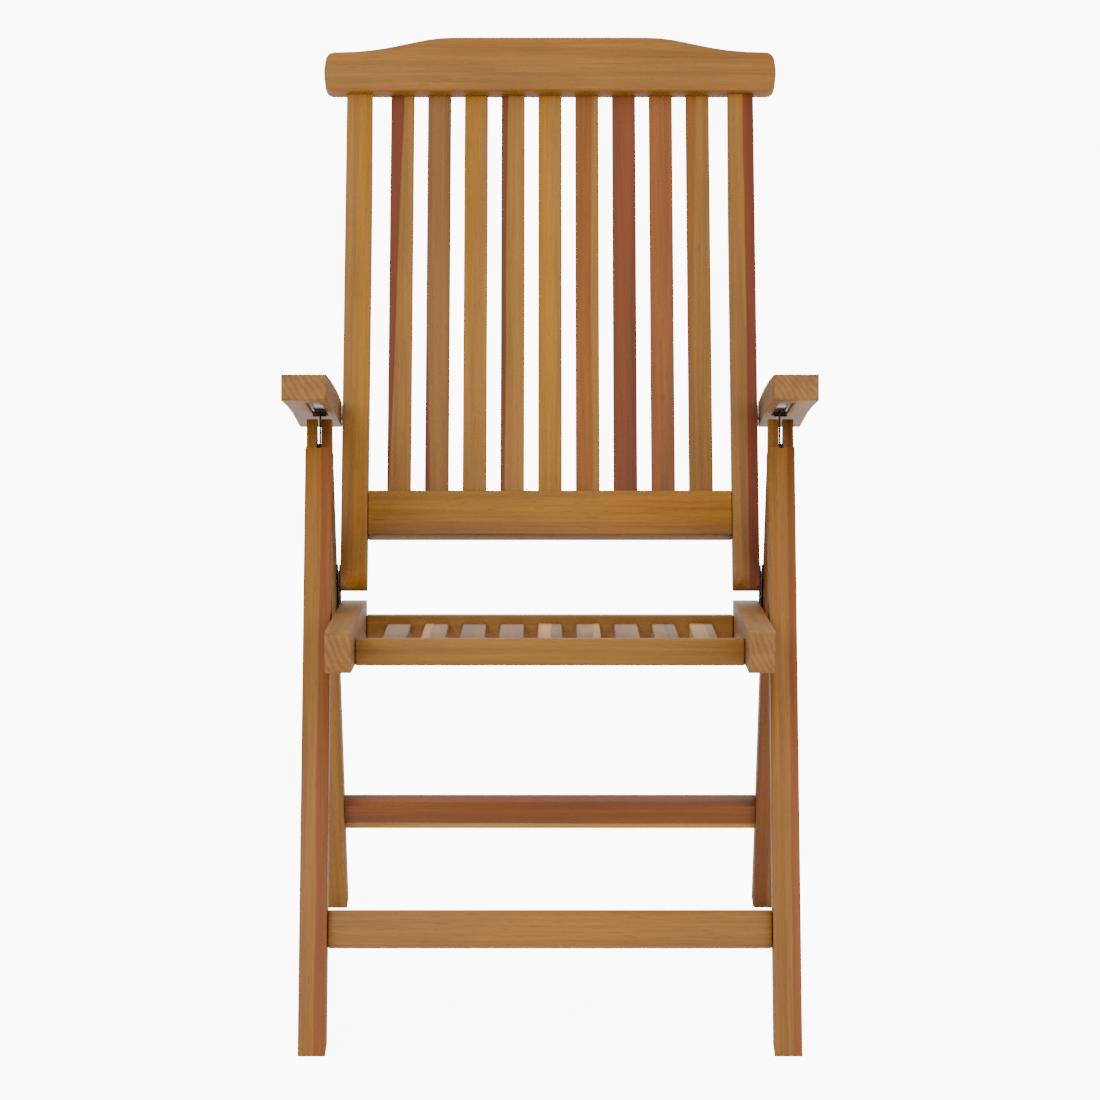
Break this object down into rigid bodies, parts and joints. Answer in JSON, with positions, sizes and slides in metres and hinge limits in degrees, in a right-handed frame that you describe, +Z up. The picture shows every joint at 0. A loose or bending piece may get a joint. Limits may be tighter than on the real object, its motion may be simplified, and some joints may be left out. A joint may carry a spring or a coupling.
{
  "type": "folding armchair",
  "caption": "Reclining, folding wooden garden armchair with a slatted seat and back, A-frame legs and armrests on notched racks.",
  "frame": {"origin": "on the floor, under the middle of the chair as it stands open", "axes": "+X to the right of someone facing the chair, +Y to the back, +Z up"},
  "size_m": [0.551, 0.7076, 0.9857],
  "materials": {
    "teak": "oiled, satin",
    "steel": "plated, satin",
    "dark_steel": "blackened, satin"
  },
  "bodies": {
    "rear_frame": {"hinge_pin_left": "steel", "hinge_pin_right": "steel", "hinge_plate_left": "steel", "hinge_plate_right": "steel", "leg_plate_left": "dark_steel", "leg_plate_right": "dark_steel", "rear_leg_left": "teak", "rear_leg_right": "teak", "rear_stretcher": "teak", "stretcher_peg_left": "teak", "stretcher_peg_right": "teak"},
    "front_frame": {"catch_plate_left": "dark_steel", "catch_plate_right": "dark_steel", "front_leg_left": "teak", "front_leg_right": "teak", "front_stretcher": "teak", "seat_rest_pin_left": "steel", "seat_rest_pin_right": "steel"},
    "seat": {"seat_bracket_left": "dark_steel", "seat_bracket_right": "dark_steel", "seat_front_bar": "teak", "seat_rail_left": "teak", "seat_rail_right": "teak", "seat_rear_bar": "teak", "seat_slat_1": "teak", "seat_slat_2": "teak", "seat_slat_3": "teak", "seat_slat_4": "teak", "seat_slat_5": "teak", "seat_slat_6": "teak", "seat_slat_7": "teak", "seat_slat_8": "teak", "seat_slat_9": "teak"},
    "back_pivot": {"recline_pin_left": "steel", "recline_pin_right": "steel"},
    "backrest": {"back_lower_rail": "teak", "back_post_left": "teak", "back_post_right": "teak", "back_slat_1": "teak", "back_slat_2": "teak", "back_slat_3": "teak", "back_slat_4": "teak", "back_slat_5": "teak", "back_slat_6": "teak", "back_slat_7": "teak", "back_slat_8": "teak", "back_slat_9": "teak", "top_rail": "teak"},
    "arm_bolt_left": {"arm_bolt_left": "steel"},
    "armrest_left": {"armrest_left": "teak", "arm_rack_left": "steel"},
    "arm_bolt_right": {"arm_bolt_right": "steel"},
    "armrest_right": {"armrest_right": "teak", "arm_rack_right": "steel"}
  },
  "joints": [
    {"name": "legs_fold", "type": "hinge", "parent": "rear_frame", "child": "front_frame", "pos_m": [0, -0.02586, 0.5194], "axis": [1, 0, 0], "range_deg": [0, 50]},
    {"name": "seat_fold", "type": "hinge", "parent": "rear_frame", "child": "seat", "pos_m": [0, 0.04455, 0.42998], "axis": [1, 0, 0], "range_deg": [-55.5, 0]},
    {"name": "back_fold", "type": "hinge", "parent": "rear_frame", "child": "back_pivot", "pos_m": [0, 0.04455, 0.42998], "axis": [1, 0, 0], "range_deg": [0, 48.5]},
    {"name": "recline", "type": "hinge", "parent": "back_pivot", "child": "backrest", "pos_m": [0, 0.04455, 0.42998], "axis": [-1, 0, 0], "range_deg": [-8, 25]},
    {"name": "arm_track_left", "type": "hinge", "parent": "backrest", "child": "arm_bolt_left", "pos_m": [-0.2449, 0.13755, 0.59106], "axis": [-1, 0, 0], "range_deg": [-15.5, 5.2]},
    {"name": "arm_fold_left", "type": "hinge", "parent": "arm_bolt_left", "child": "armrest_left", "pos_m": [-0.2449, 0.13755, 0.59106], "axis": [1, 0, 0], "range_deg": [-100.5, 0]},
    {"name": "arm_track_right", "type": "hinge", "parent": "backrest", "child": "arm_bolt_right", "pos_m": [0.2449, 0.13755, 0.59106], "axis": [-1, 0, 0], "range_deg": [-15.5, 5.2]},
    {"name": "arm_fold_right", "type": "hinge", "parent": "arm_bolt_right", "child": "armrest_right", "pos_m": [0.2449, 0.13755, 0.59106], "axis": [1, 0, 0], "range_deg": [-100.5, 0]}
  ],
  "couplings": [
    {"joint": "seat_fold", "follows": "legs_fold", "ratio": -1.1},
    {"joint": "back_fold", "follows": "legs_fold", "ratio": 0.96},
    {"joint": "arm_track_left", "follows": "recline", "ratio": -0.6},
    {"joint": "arm_fold_left", "follows": "legs_fold", "ratio": -2},
    {"joint": "arm_track_right", "follows": "recline", "ratio": -0.6},
    {"joint": "arm_fold_right", "follows": "legs_fold", "ratio": -2}
  ]
}
